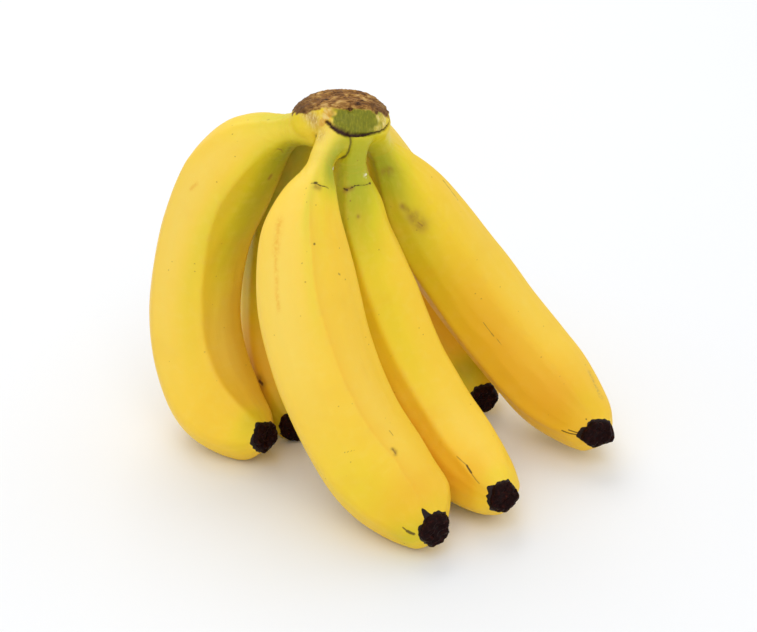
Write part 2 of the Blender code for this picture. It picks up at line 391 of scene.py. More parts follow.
NECK_GREEN, NECK_FROM, NECK_TO = 0.20, 12.0, 40.0


def greenness(name, along, turn):
    """A fading neck plus a bell for each green place, no more than 1."""
    amount = NECK_GREEN * (1.0 - smooth_step(along, NECK_FROM, NECK_TO)) + bells(GREENS[name], along, turn)
    return np.clip(amount, 0.0, 1.0)


# Painted light: paler yellow that stands in for the soft boxes' sheen on the lit faces and lifts some shaded
# ones
PAINTED_SHEEN = {
    "front": ((60, 268, 55, 40, 0.42), (118, 196, 40, 22, 0.20), (8, 270, 12, 40, 0.35)),
    "left": ((60, 207, 50, 36, 0.35), (132, 118, 34, 26, 0.30), (120, 200, 40, 40, 0.20)),
    "middle": ((148, 178, 30, 26, 0.25),),
    "right": ((118, 120, 40, 24, 0.15),),
}
# Deeper gold: partly painted shade on the facets turned away from the light, partly the riper colour near the
# tips
GOLD_AND_PAINTED_SHADE = {
    "left": ((110, 250, 40, 30, 0.20),),
    "back_left": ((150, 216, 30, 50, 0.35),),
    "front": ((168, 230, 14, 90, 0.40), (90, 190, 50, 30, 0.12)),
    "middle": ((140, 240, 40, 26, 0.35), (170, 232, 14, 40, 0.40)),
    "right": ((110, 180, 50, 40, 0.55), (165, 165, 25, 90, 0.55)),
    "back_right": ((90, 205, 40, 50, 0.40),),
}


print("green places:", sum(len(places) for places in GREENS.values()))

# %% [markdown]
# ## Colour from hex, and one way to add a node
#
# Colours are given as sRGB hex. Blender mixes light in linear values, so one
# function converts them. One more adds a node, sets it up, with the stops of a colour ramp
# as (place, hex), and returns the socket to use next, which keeps the materials short.

# %% Hex colours and nodes


def hex_colour(code):
    """Linear value of each sRGB channel c: c/12.92 when dark, else ((c+0.055)/1.055)^2.4."""
    channels = np.array([int(code[i : i + 2], 16) / 255 for i in (1, 3, 5)])
    linear = np.where(channels <= 0.04045, channels / 12.92, ((channels + 0.055) / 1.055) ** 2.4)
    return (*linear.tolist(), 1.0)


def add(tree, kind, sockets=None, give=None, stops=(), **settings):
    """Add a node, set it, fill or link its inputs by identifier, and return one output."""
    node = tree.nodes.new("ShaderNode" + kind)
    for key, value in settings.items():
        setattr(node, key, value)
    for key, value in (sockets or {}).items():
        socket = next(socket for socket in node.inputs if socket.identifier == key)
        if isinstance(value, bpy.types.NodeSocket):
            tree.links.new(value, socket)
        else:
            socket.default_value = value
    for _ in stops[2:]:
        node.color_ramp.elements.new(0.5)
    for element, (place, code) in zip(node.color_ramp.elements if stops else (), stops):
        element.position, element.color = place, hex_colour(code)
    return node.outputs[give] if give else next((socket for socket in node.outputs if socket.enabled), None)


print("ripe yellow in linear light:", [round(v, 3) for v in hex_colour("#F2C230")])

# %% [markdown]
# ## Ripe banana peel
#
# Peel is a thin waxy skin over pale fibre. Light goes in a little way and comes back
# yellow, so it gets a small share of subsurface light; the wax gives a broad, soft
# shine, roughness about 0.4. Up close it has pores and fine fibres that run lengthwise,
# cloudy patches of paler and deeper yellow, sparse brown freckles, and tan wear along
# the ridges. Over that go a painted sheen, paler yellow on the faces turned to the lamps;
# deeper gold, partly painted shade on faces turned away and partly the riper tips; and
# painted shade just past the front banana's sharpest ridge. Each vertex stores where it
# would be if the banana were straightened out, in mm, so the fibres follow the bend.

# %% Peel colour, relief and roughness in layers
FIBRE_STRETCH = 0.06
FRECKLE_SPACING = 7.0
PEEL_MASKS = ("green", "ridge", *RELIEF, "tip", "pale", "gold", "ridge_shade")


def peel_layers(tree):
    """Colour, height and roughness of the peel from its attributes and noise in mm."""
    said = {key: add(tree, "Attribute", give="Fac", attribute_name=key) for key in PEEL_MASKS}
    place = add(tree, "Attribute", give="Vector", attribute_name="straight")
    lengthwise = add(tree, "Mapping", {"Vector": place, "Scale": (1.0, 1.0, FIBRE_STRETCH)})
    patches, mottle, pores, fibres, jags = (
        add(tree, "TexNoise", {"Vector": where, "Scale": 1.0 / size, "Detail": detail, "Roughness": rough})
        for size, detail, where, rough in (
            (22.0, 3.0, place, 0.55), (4.0, 4.0, place, 0.55), (0.55, 2.0, place, 0.55),
            (1.1, 3.0, lengthwise, 0.55), (1.3, 3.0, place, 0.65),
        )
    )
    freckle = add(tree, "TexVoronoi", {"Vector": place, "Scale": 1.0 / FRECKLE_SPACING, "Randomness": 1.0})
    cloudy = add(
        tree, "Math", {"Value": patches, "Value_001": 0.16, "Value_002": -0.08}, operation="MULTIPLY_ADD"
    )
    ripeness = add(tree, "Math", {"Value": said["green"], "Value_001": cloudy}, operation="ADD")
    colour = add(
        tree, "ValToRGB", {"Fac": ripeness},
        stops=((0.0, "#F7CC36"), (0.20, "#EFCF2C"), (0.45, "#DACA22"), (0.72, "#BEB822"), (1.0, "#ACB026")),
    )
    ragged = {
        key: add(
            tree, "Math", {"Value": jags, "Value_001": share, "Value_002": said[key]},
            operation="MULTIPLY_ADD",
        )
        for key, share in (("fleck", 0.5), ("crease", 0.6), ("spot", 0.5), ("tip", 0.5))
    }
    # A value, where its step starts and ends, how strong it gets, what that is multiplied by, a colour
    for value, low, high, most, where, code in (
        (mottle, 0.45, 0.75, 0.10, 1.0, "#FBE27A"),
        (patches, 0.50, 0.72, 0.20, 1.0, "#EFB62A"),
        # painted light: the paler sheen read from the attribute pale
        (1.0, 0.0, 1.0, 1.00, said["pale"], "#FBE07C"),
        # deeper gold, partly painted shade, read from the attribute gold
        (1.0, 0.0, 1.0, 1.00, said["gold"], "#E6A41E"),
        # painted shade just past the front banana's sharpest ridge
        (1.0, 0.0, 1.0, 0.50, said["ridge_shade"], "#F0B636"),
        (mottle, 0.35, 0.75, 0.20, said["ridge"], "#DDAA30"),
        (freckle, 0.055, 0.030, 0.55, 1.0, "#9A6A22"),
        (jags, 0.25, 0.65, 0.60, said["scuff"], "#E9A830"),
        (mottle, 0.15, 0.65, 0.82, said["bruise"], "#9C7A2A"),
        (ragged["fleck"], 0.60, 1.20, 0.75, 1.0, "#94702A"),
        (jags, 0.30, 0.70, 0.60, said["scar"], "#A48A44"),
        (ragged["crease"], 0.80, 1.35, 0.60, 1.0, "#6E5622"),
        (ragged["spot"], 0.62, 1.15, 0.85, 1.0, "#3A2412"),
        (ragged["tip"], 0.70, 0.86, 1.00, 1.0, "#1A0807"),
    ):
        strength = add(
            tree, "MapRange", {"Value": value, "From Min": low, "From Max": high, "To Max": most},
            interpolation_type="SMOOTHSTEP",
        )
        strength = add(tree, "Math", {"Value": strength, "Value_001": where}, operation="MULTIPLY")
        colour = add(
            tree, "Mix", {"Factor_Float": strength, "A_Color": colour, "B_Color": hex_colour(code)},
            data_type="RGBA",
        )
    height = 0.0
    for relief, share in ((pores, 0.45), (fibres, 0.6), (mottle, 0.5)):
        height = add(
            tree, "Math", {"Value": relief, "Value_001": share, "Value_002": height}, operation="MULTIPLY_ADD"
        )
    roughness = add(
        tree, "MapRange", {"Value": mottle, "From Min": 0.3, "From Max": 0.7, "To Min": 0.44, "To Max": 0.54}
    )
    return colour, height, roughness


def finish_material(colour, height, roughness, tree, bump, **shine):
    """Join colour, roughness and bump to a Principled shader, with its fixed values set on it."""
    normal = add(tree, "Bump", {"Height": height, "Strength": bump, "Distance": 0.2 * MM})
    shader = add(
        tree, "BsdfPrincipled",
        {"Base Color": colour, "Roughness": roughness, "Normal": normal, "IOR": 1.45, **shine},
    )
    add(tree, "OutputMaterial", {"Surface": shader})


def new_tree(name):
    """A new material and its empty node tree."""
    material = bpy.data.materials.new(name)
    material.use_nodes = True
    material.node_tree.nodes.clear()
    return material, material.node_tree


peel, peel_tree = new_tree("ripe banana peel")
peel_shine = {
    "Specular IOR Level": 0.28, "Subsurface Weight": 0.12, "Subsurface Radius": (1.0, 0.55, 0.12),
    "Subsurface Scale": 2.0 * MM,
}
finish_material(*peel_layers(peel_tree), peel_tree, 0.35, **peel_shine)
print("peel nodes:", len(peel_tree.nodes))

# %% [markdown]
# ## A closed skin from a grid
#
# Every new surface is a grid of points: rings along one way, steps round the other. The
# last step joins the first, and a fan closes each end, so the mesh is watertight. The
# attributes the peel reads are stored on its vertices, and a map of turns against
# length is laid on it for baking.

# %% Grids into meshes


def shell(grid):
    """Points and faces of a closed skin: quads between rings and a fan over each end."""
    rings, steps = grid.shape[:2]
    ring, step = (part.ravel() for part in np.meshgrid(np.arange(rings - 1), np.arange(steps), indexing="ij"))
    turn = (step + 1) % steps
    this, after = ring * steps, (ring + 1) * steps
    quads = np.stack([this + step, this + turn, after + turn, after + step], 1)
    step, pole = np.arange(steps), rings * steps
    turn, top = (step + 1) % steps, (rings - 1) * steps
    first = np.stack([np.full(steps, pole), turn, step], 1)
    last = np.stack([np.full(steps, pole + 1), top + step, top + turn], 1)
    points = np.vstack([grid.reshape(-1, 3), grid[0].mean(0), grid[-1].mean(0)])
    return points, quads, np.vstack([first, last])


def turn_map(rings, steps):
    """Across: the share of a turn. Up: the share of the rings, with a margin for the fans."""
    ring, step = (part.ravel() for part in np.meshgrid(np.arange(rings - 1), np.arange(steps), indexing="ij"))
    u = np.stack([step, step + 1, step + 1, step], 1) / steps
    v = 0.02 + 0.96 * np.stack([ring, ring, ring + 1, ring + 1], 1) / (rings - 1)
    step = np.arange(steps)
    middle = step + 0.5
    fan_u = np.vstack([np.stack([middle, step + 1, step], 1), np.stack([middle, step, step + 1], 1)]) / steps
    fan_v = np.vstack([np.tile([0.0, 0.02, 0.02], (steps, 1)), np.tile([1.0, 0.98, 0.98], (steps, 1))])
    return np.vstack([np.stack([u.ravel(), v.ravel()], 1), np.stack([fan_u.ravel(), fan_v.ravel()], 1)])


def store(mesh, name, values):
    """Put numbers, or sets of three, on the mesh's vertices under a name."""
    kind, field = ("FLOAT_VECTOR", "vector") if values.ndim == 2 else ("FLOAT", "value")
    mesh.attributes.new(name, kind, "POINT").data.foreach_set(field, values.astype(np.float32).ravel())


def with_poles(values):
    """A grid of values as one column, with the means of its first and last rings added."""
    flat = values.reshape(values.shape[0] * values.shape[1], *values.shape[2:])
    return np.concatenate([flat, values[:1].mean(axis=1), values[-1:].mean(axis=1)])


def make_piece(name, grid, material, said, node):
    """Build a closed skin with its attributes and map, and let it stand for a CAD node."""
    points, quads, fans = shell(grid)
    mesh = bpy.data.meshes.new(name)
    mesh.from_pydata((points * MM).tolist(), [], quads.tolist() + fans.tolist())
    for key, values in said.items():
        store(mesh, key, with_poles(values))
    unrolled = turn_map(*grid.shape[:2]).astype(np.float32).ravel()
    mesh.uv_layers.new(name="OFBake").uv.foreach_set("vector", unrolled)
    mesh.shade_smooth()
    mesh.materials.append(material)
    piece = bpy.data.objects.new(name, mesh)
    bpy.context.scene.collection.objects.link(piece)
    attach(piece, "root")
    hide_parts(node)
    return piece


print("grids become meshes with", "quads, two fans and a map")

# %% [markdown]
# ## The peels
#
# Each peel is one grid of rings along and steps round, closer together at the neck and
# the tip and on the side with the finest marks. It starts a little inside the stalk, so the
# join is a shallow crease as on the fruit. The ridges get a light, uneven waviness, the
# peel puckers into the blossom end, and what would be under the floor is pressed flat.

# %% Six peels
RINGS, STEPS, BACK_RINGS, BACK_STEPS = 330, 200, 220, 150
TUCK = 3.0
# Beside the sharpest ridge's line: degrees off it, width in degrees, height in mm
CRESTS = {
    "front": ((0, 5.0, 0.45),),
    "left": ((0, 5.0, 0.55), (-20, 13.0, -0.30)),
    "middle": ((0, 6.0, 0.40), (11, 8.0, -0.30)),
    "right": ((0, 6.0, 0.35), (10, 8.0, -0.25)),
}
# How many degrees the painted shade past the front banana's sharpest ridge takes to fade
SHADE_PAST_RIDGE_FADE = 7.0
# Where the dark end runs up the peel: degrees round, mm up, width in degrees
SPIKES = {
    "front": ((219, 3.0, 9), (262, 1.0, 12)),
    "left": ((150, 0.8, 12),),
    "middle": ((222, 0.9, 12),),
    "right": ((208, 2.2, 24),),
}


def crest(name, along, turn, end):
    """The ridge's own relief in mm, and the painted shade on the front banana's peel just past the ridge,
    fading over a few degrees.
    """
    off = around(turn, ridge_at(name, along))
    level = smooth_step(along, 26.0, 40.0) * (1.0 - smooth_step(along, end - 18, end - 2))
    relief = 0.0 * off
    for beside, wide, high in CRESTS.get(name, ()):
        relief = relief + high * np.exp(-(((off - beside) / wide) ** 2))
    shade_past_ridge = smooth_step(-off, -1.5, 1.5) * np.exp(np.minimum(off, 0.0) / SHADE_PAST_RIDGE_FADE) * (name == "front")
    return level * relief, level * shade_past_ridge


def spread(start, end, count, near=5.0, extra=1.3):
    """Distances from start to end, closer together near both ends."""
    fine = np.linspace(start, end, 2000)
    weight = 1.0 + extra * (np.exp(-(((fine - start) / near) ** 2)) + np.exp(-(((fine - end) / near) ** 2)))
    total = np.cumsum(weight)
    return np.interp(np.linspace(total[0], total[-1], count), total, fine)


def turns(steps):
    """360 s + 22 sin 2 pi (s - 0.056), with s the share of the steps: closest near 200 degrees."""
    share = np.arange(steps)[None, :] / steps
    return 360.0 * share + 22.0 * np.sin(2 * np.pi * (share - 0.056))


def straightened(along, turn):
    """Where a point would be on a straight rod 16 mm thick: its angle and its distance along."""
    angle = np.radians(turn)
    return np.stack(np.broadcast_arrays(16.0 * np.cos(angle), 16.0 * np.sin(angle), along), -1)


def peel_said(name, along, turn):
    """The attributes that the peel material reads, at places on one banana."""
    off_ridge = around(5 * untwisted(name, along, turn), 0.0) / 5
    off_ridge = off_ridge * np.radians(1.0) * radius_along(name, along)
    said = {kind: stain(name, kind, along, turn) for kind in RELIEF}
    said["green"] = greenness(name, along, turn)
    said["ridge"] = np.exp(-((off_ridge / 1.1) ** 2))
    said["pale"] = bells(PAINTED_SHEEN.get(name, ()), along, turn)
    said["gold"] = bells(GOLD_AND_PAINTED_SHADE.get(name, ()), along, turn)
    return said


def make_peel(name, seed):
    """A peel from just inside its stalk to under its blossom end."""
    long, seam = BENDS[name]["long"], FINGERS[name]["seam"]
    end = long - PEEL_SHORT
    rings, steps = (BACK_RINGS, BACK_STEPS) if "back" in name else (RINGS, STEPS)
    along, turn = spread(seam - TUCK, end, rings)[:, None], turns(steps)
    said = peel_said(name, along, turn)
    straight = straightened(along, turn)
    relief = sum(depth * said[kind] for kind, depth in RELIEF.items())
    relief = relief + 0.12 * ripples(straight, 30.0, seed)
    relief = relief + 0.035 * ripples(straight * (1, 1, 0.25), 5.0, seed + 1)
    relief = relief - 0.40 * (1.0 - smooth_step(along, seam - TUCK, seam + 0.6))
    ridge_relief, said["ridge_shade"] = crest(name, along, turn, end)
    relief = relief + ridge_relief
    pucker = smooth_step(along, end - 6.0, end) * (1.0 - smooth_step(along, end - 0.8, end))
    relief = relief + 0.08 * pucker * ripples(straight * (1, 1, 0.15), 7.0, seed + 2)
    jag = 0.25 * ripples(straight * (1, 1, 0.0), 6.0, seed + 3)
    for middle, high, wide in SPIKES.get(name, ()):
        jag = jag + high * np.exp(-((around(turn, middle) / wide) ** 2))
    said["tip"] = smooth_step(along, end - 0.9 - jag, end - 0.1 - jag)
    said["straight"] = straight
    grid = skin(name, along, turn, relief)
    lip = skin(name, along[-1:] + 0.5, turn, relief[-1:] - 1.6)
    grid = np.concatenate([grid, lip])
    grid[..., 2] = np.maximum(grid[..., 2], 0.0)
    said = {key: np.concatenate([values, values[-1:]]) for key, values in said.items()}
    return make_piece(f"peel_{name}", grid, peel, said, f"banana_{name}")


for order, name in enumerate(FINGERS):
    made = make_peel(name, 100 + 10 * order)
    print(made.name, len(made.data.polygons), "faces")

# %% [markdown]
# ## The blossom ends
#
# The flower dried off here and left a hard, nearly black stub, nearly flush with the
# peel, with a torn edge and a slightly sunken face. It is a closed grid too: a profile of
# reach against width, turned round the midline's end, with lobes and lumps of two sizes.

# %% Dry blossom end
CAP_PROFILE = (
    (-3.0, 4.6), (-1.2, 5.7), (0.0, 6.3), (0.9, 6.4), (1.9, 6.0), (2.6, 5.0), (2.8, 4.0), (2.5, 2.8),
    (2.2, 1.5), (2.3, 0.3),
)
CAP_SIZE = {"left": 0.98, "back_left": 1.10, "front": 1.08, "middle": 0.98, "right": 1.02, "back_right": 1.02}
# Degrees round of a cap's long axis, and the share by which it is longer
CAP_OVAL = {"right": (205, 0.14), "left": (150, 0.04), "front": (215, 0.05)}
CAP_RINGS, CAP_STEPS = 60, 96

cap_material, cap_tree = new_tree("dry blossom end")
where = add(cap_tree, "TexCoord", give="Object")
lumps = add(
    cap_tree, "TexNoise", {"Vector": where, "Scale": 700.0, "Detail": 4.0, "Roughness": 0.65}
)
grit = add(cap_tree, "TexNoise", {"Vector": where, "Scale": 2600.0, "Detail": 2.0})
cap_colour = add(
    cap_tree, "ValToRGB", {"Fac": lumps},
    stops=((0.0, "#0A0202"), (0.50, "#190504"), (0.62, "#280B08"), (0.74, "#42190E"), (0.88, "#66391F")),
)
cap_rough = add(
    cap_tree, "MapRange",
    {"Value": grit, "From Min": 0.3, "From Max": 0.7, "To Min": 0.34, "To Max": 0.62},
)
cap_height = add(cap_tree, "Math", {"Value": lumps, "Value_001": grit}, operation="ADD")
finish_material(cap_colour, cap_height, cap_rough, cap_tree, 0.8, **{"Specular IOR Level": 0.08})


def round_off(points, times):
    """Cut every corner at a quarter and three quarters of each side, a few times over."""
    points = np.array(points, float)
    for _ in range(times):
        near, far = points[:-1], points[1:]
        cut = np.stack([0.75 * near + 0.25 * far, 0.25 * near + 0.75 * far], 1).reshape(-1, points.shape[1])
        points = np.vstack([points[:1], cut, points[-1:]])
    return points


def resample(points, count):
    """The same polyline read at evenly spaced distances along it."""
    far = np.concatenate([[0.0], np.linalg.norm(np.diff(points, axis=0), axis=1).cumsum()])
    return np.stack([np.interp(np.linspace(0, far[-1], count), far, column) for column in points.T], 1)


def make_cap(name, seed):
    """The stub: profile times lobes and lumps, round the frame at the peel's end."""
    place = np.array(BENDS[name]["long"] - PEEL_SHORT)
    keys = ("line", "forward", "across", "beside")
    centre, forward, across, beside = (along_bend(name, key, place) for key in keys)
    reach, radius = resample(round_off(CAP_PROFILE, 2), CAP_RINGS).T[..., None]
    radius = radius * CAP_SIZE[name]
    angle = np.radians(np.arange(CAP_STEPS) * 360.0 / CAP_STEPS)[None, :]
    ring = np.stack([np.cos(angle), np.sin(angle)], -1)
    seen = np.stack(np.broadcast_arrays(radius * ring[..., 0], radius * ring[..., 1], reach), -1)
    lobes = 1.0 + 0.03 * np.cos(3 * angle + seed) + 0.05 * np.cos(5 * angle) + 0.015 * np.cos(10 * angle)
    rough = 0.18 * ripples(seen * (1, 1, 0.5), 5.0, seed) - 0.14 * np.abs(ripples(seen, 2.6, seed + 1)) + 0.1
    rough = rough + 0.05 * ripples(seen, 1.1, seed + 2)
    shown = smooth_step(reach, -2.0, 0.5)
    long_way, longer = CAP_OVAL.get(name, (0, 0.0))
    lobes = lobes + longer * np.cos(2 * (angle - np.radians(long_way)))
    radius = radius * lobes + rough * shown * smooth_step(radius, 0.2, 3.0)
    reach = reach + 0.35 * ripples(seen, 3.0, seed + 3) * smooth_step(reach, 1.0, 3.0)
    outward = across * ring[..., :1] + beside * ring[..., 1:]
    grid = centre + outward * radius[..., None] + forward * reach[..., None]
    grid[..., 2] = np.maximum(grid[..., 2], 0.0)
    return make_piece(f"stub_{name}", grid, cap_material, {}, f"blossom_end_{name}")


for order, name in enumerate(FINGERS):
    made = make_cap(name, 500 + 10 * order)
    print(made.name, len(made.data.polygons), "faces")

# %% [markdown]
# ## The crown
#
# The crown is the cushion that held the hand to the bunch. It was cut with a knife, and
# the cut has dried brown and fibrous. Six stalks grow out of it with soft fillets, which
# is hard to write as one grid. So the cushion and the stalks are grids that overlap, a
# voxel remesh joins them into one closed skin, and a few rounds of averaging turn the
# corners between them into fillets. Then each vertex is moved and marked by formula.

# %% Cushion and stalks, joined
CROWN_LEVELS = (
    (131.0, 3.0, 5.0, 5.0), (136.0, 2.5, 10.0, 8.0), (141.0, 1.2, 15.8, 11.5), (146.0, 1.0, 19.5, 11.5),
    (150.0, 0.8, 19.9, 9.5), (152.8, 0.8, 19.1, 8.8), (154.2, 0.7, 17.2, 7.2), (154.4, 0.3, 9.5, 4.0),
)
CROWN_MIDDLE = np.array((-4.5, -1.5))
LEFT_DROOP, RIGHT_DROOP, ROUNDNESS = (6.6, 2.1), (6.6, 2.8), 2.6
VOXEL = 0.45 * MM


def droop(x):
    """Amount (x / 20 mm)^power, with an amount and a power for either side of the middle."""
    amount, power = (np.where(x < 0.0, *pair) for pair in zip(LEFT_DROOP, RIGHT_DROOP))
    return amount * np.abs(x / 20.0) ** power


def cushion():
    """Rounded oblongs at each level, |cos|^(2/n) and |sin|^(2/n), arched so the ends droop."""
    height, shift, half_length, half_depth = resample(round_off(CROWN_LEVELS, 2), 60).T[..., None]
    angle = np.linspace(0, 2 * np.pi, 160, endpoint=False)[None, :]
    x = shift + half_length * np.sign(np.cos(angle)) * np.abs(np.cos(angle)) ** (2 / ROUNDNESS)
    y = half_depth * np.sign(np.sin(angle)) * np.abs(np.sin(angle)) ** (2 / ROUNDNESS)
    z = height - droop(x)
    return np.stack([x + CROWN_MIDDLE[0], y + CROWN_MIDDLE[1], z], -1) - CENTRE


def stalk(name):
    """The start of a banana's skin, its end drawn in so that it tucks under the peel."""
    seam = FINGERS[name]["seam"]
    along = np.linspace(0.0, seam + TUCK, 90)[:, None]
    turn = np.arange(96)[None, :] * 360.0 / 96
    return skin(name, along, turn, -0.40 * smooth_step(along, seam - 0.6, seam + TUCK) + 0.0 * turn)


def joined(grids):
    """One mesh from several closed skins, remeshed into the outside of them all."""
    points, faces, start = [], [], 0
    for grid in grids:
        own, quads, fans = shell(grid)
        points.append(own)
        faces += (quads + start).tolist() + (fans + start).tolist()
        start += len(own)
    mesh = bpy.data.meshes.new("crown")
    mesh.from_pydata((np.vstack(points) * MM).tolist(), [], faces)
    piece = bpy.data.objects.new("crown_cushion", mesh)
    bpy.context.scene.collection.objects.link(piece)
    remesh = piece.modifiers.new("one skin", "REMESH")
    remesh.mode, remesh.voxel_size = "VOXEL", VOXEL
    whole = bpy.data.meshes.new_from_object(piece.evaluated_get(bpy.context.evaluated_depsgraph_get()))
    piece.modifiers.clear()
    piece.data = whole
    return piece


crown = joined([cushion()] + [stalk(name) for name in FINGERS])
print("crown before shaping:", len(crown.data.vertices), "vertices")

# %% Soften the joins, and find which stalk each vertex is on
FILLET_ROUNDS = 28


def column(mesh, owner, field, width):
    """A mesh's numbers as an array."""
    values = np.empty(len(owner) * width, np.float32 if field != "vertices" else np.int32)
    owner.foreach_get(field, values)
    return values.reshape(-1, width).astype(float if field != "vertices" else int)


def averaged(points, edges, share):
    """Each point moved by a share of the way to the mean of its neighbours."""
    both = np.concatenate([edges, edges[:, ::-1]])
    count = np.bincount(both[:, 0], minlength=len(points))[:, None]
    total = np.stack([np.bincount(both[:, 0], points[both[:, 1], axis], len(points)) for axis in range(3)], 1)
    return points + share * (total / count - points)


def nearest_stalk(points):
    """Each point's nearest stalk, its place on it, how far out it is and how much farther the next is."""
    best, second = np.full(len(points), 1e9), np.full(len(points), 1e9)
    which, along, turn = np.zeros(len(points), int), np.zeros(len(points)), np.zeros(len(points))
    steps = np.linspace(0.0, 30.0, 61)
    for order, name in enumerate(FINGERS):
        line = along_bend(name, "line", steps)
        far = np.linalg.norm(points[:, None] - line[None], axis=-1)
        place = steps[far.argmin(1)]
        outside = far.min(1) - radius_along(name, place)
        away = points - along_bend(name, "line", place)
        over, aside = ((away * along_bend(name, key, place)).sum(1) for key in ("across", "beside"))
        angle = np.degrees(np.arctan2(aside, over)) % 360.0
        closer = outside < best
        second = np.where(closer, best, np.minimum(second, outside))
        best[closer], which[closer] = outside[closer], order
        along[closer], turn[closer] = place[closer], angle[closer]
    return which, along, turn, best, second - best


mesh = crown.data
points = column(mesh, mesh.vertices, "co", 3) / MM
edges = column(mesh, mesh.edges, "vertices", 2)
which, along, turn, outside, between = nearest_stalk(points)
fillet = (0.5 * (1.0 - smooth_step(along, 11.0, 17.0)))[:, None]
for _ in range(FILLET_ROUNDS):
    points = averaged(points, edges, fillet)
for _ in range(3):
    points = averaged(points, edges, 0.4)
print("vertices on the cushion:", int((outside > 1.0).sum()))

# %% [markdown]
# ## What the knife and the bunch left on the crown
#
# Seen from the front: the cut face is brown with torn fibres and a jagged lower edge,
# two dark holes sit in that edge, a flap of orange peel is torn beside the green pad,
# the scar of the bract runs under the pad as a dark purple groove, and to its left the
# skin is corky and streaked white. Each is a place or a line in mm, and the distance to
# it sets both how far a vertex moves and how strongly its colour shows.

# %% Places on the crown, in mm in the part's frame
SCAR_LINE = (
    (-20.8, 3.0, 146.9), (-18.0, 1.0, 146.0), (-15.3, -0.4, 144.7), (-12.6, 0.1, 143.3), (-9.6, 2.0, 141.9),
    (-5.7, 3.7, 141.1), (-1.9, 5.7, 141.1), (0.9, 9.0, 141.5), (2.4, 13.0, 143.2), (2.6, 16.0, 146.7),
)
CORK_LINE = ((-28.8, 6.6, 149.7), (-26.0, 5.0, 147.2), (-25.2, 1.5, 144.2), (-24.4, 0.3, 143.4))
HOLES = (((-11.5, 5.4, 151.1), 1.3, 1.3), ((-30.2, 7.9, 149.6), 0.9, 1.0), ((-23.8, 9.0, 153.3), 1.0, 0.6))
TORN_LINE = ((-19.6, 6.0, 150.8), (-20.6, 4.6, 148.6), (-22.6, 3.0, 146.4))
SAP = ((-6.0, 3.3, 124.8), (-6.8, 3.1, 121.7))
CUT_LEVEL = 151.5


def to_place(points, place):
    """Distance from each point to one place."""
    return np.linalg.norm(points - np.array(place), axis=1)


def to_line(points, line, surface=None):
    """Distance to a line resampled every few tenths of a mm, and the share of the way along it."""
    fine = resample(np.array(line, float), 90)
    if surface is not None:
        fine = surface[[to_place(surface, place).argmin() for place in fine]]
    far = np.linalg.norm(points[:, None] - fine[None], axis=-1)
    return far.min(1), far.argmin(1) / (len(fine) - 1)


crown_x = CROWN_MIDDLE[0] - CENTRE[0]
x, y, z = points.T
on_stalk = 1.0 - smooth_step(outside, 0.3, 1.5)
levelled = z + droop(x - crown_x)
hole = sum(deep * np.exp(-((to_place(points, place) / wide) ** 2)) for place, wide, deep in HOLES)
edge_jag = 0.28 * ripples(points, 4.0, 7) + 0.14 * ripples(points, 1.6, 8)
cut = smooth_step(levelled + edge_jag + 1.2 * hole, CUT_LEVEL - 0.35, CUT_LEVEL + 0.35)
cut = cut * (1.0 - on_stalk * smooth_step(along, 9.0, 12.0))
cut = cut * (1.0 - smooth_step(np.abs(x - crown_x), 20.0, 21.0))
tail = 0.75 * smooth_step(-x, 21.0, 33.0) + 0.65 * smooth_step(x, -7.0, 2.0)
scar_far, scar_share = to_line(points, SCAR_LINE, points)
scar_wide = 0.50 + 0.75 * np.exp(-(((scar_share - 0.22) / 0.20) ** 2))
scar = np.exp(-((scar_far / scar_wide) ** 4))
cork_far, _ = to_line(points, CORK_LINE)
cork = np.exp(-((cork_far / 2.7) ** 2)) * (1.0 - cut)
torn_far, _ = to_line(points, TORN_LINE)
torn = np.exp(-(((torn_far + 0.4 * ripples(points, 2.0, 10)) / 2.0) ** 4)) * (1.0 - cut)
scar_height = np.interp(x, *np.array(sorted((x, z) for x, y, z in SCAR_LINE)).T)
pad = smooth_step(z - scar_height, -0.6, 0.6) * (1.0 - smooth_step(y, 14.0, 19.0)) * (1.0 - cut)
pad_edge = x + 0.8 * ripples(points, 3.0, 11)
green_pad = pad * smooth_step(pad_edge, -20.0, -17.5) * (1.0 - smooth_step(pad_edge, -1.5, 1.5))
cream = pad * smooth_step(pad_edge, -2.5, 1.0) * (1.0 - smooth_step(x, 2.6, 4.2))
fold_in = np.exp(-((between / 0.8) ** 2)) * (1.0 - smooth_step(outside, 0.6, 2.0)) * (1.0 - pad)
# Painted shade: darker where two stalks meet, in the narrow creases between them
painted_crease_shade = np.exp(-((between / 0.35) ** 2)) * (1.0 - smooth_step(outside, 0.4, 1.2)) * (1.0 - pad)
sap_far, _ = to_line(points, SAP)
sap = np.exp(-((sap_far / (0.75 + 0.18 * ripples(points, 1.5, 9))) ** 4))
print("cut face:", int((cut > 0.5).sum()), "vertices, scar:", int((scar > 0.5).sum()))

# %% Move the crown's vertices along their normals
mesh.vertices.foreach_set("co", (points * MM).astype(np.float32).ravel())
mesh.update()
normals = column(mesh, mesh.vertex_normals, "vector", 3)
fibre = 0.5 * ripples(points * (0.4, 1.0, 1.0), 2.4, 21) - 0.4
fibre = fibre + 0.4 * np.abs(ripples(points * (0.6, 1.0, 1.0), 1.5, 22))
push = cut * 0.34 * fibre - 1.5 * hole
push = push - 0.95 * scar + 0.22 * np.exp(-(((scar_far - 1.6) / 0.8) ** 2)) * pad - 0.8 * fold_in
push = push + cork * 0.16 * ripples(points, 2.0, 23) + torn * (0.35 + 0.15 * ripples(points, 1.6, 24))
push = push + (1.0 - cut) * 0.05 * ripples(points, 3.0, 25) + 0.5 * sap
marks = {kind: np.zeros(len(points)) for kind in (*RELIEF, "green", "ridge", "pale", "gold")}
for order, name in enumerate(FINGERS):
    own = which == order
    for kind, values in peel_said(name, along[own], turn[own]).items():
        marks[kind][own] = values
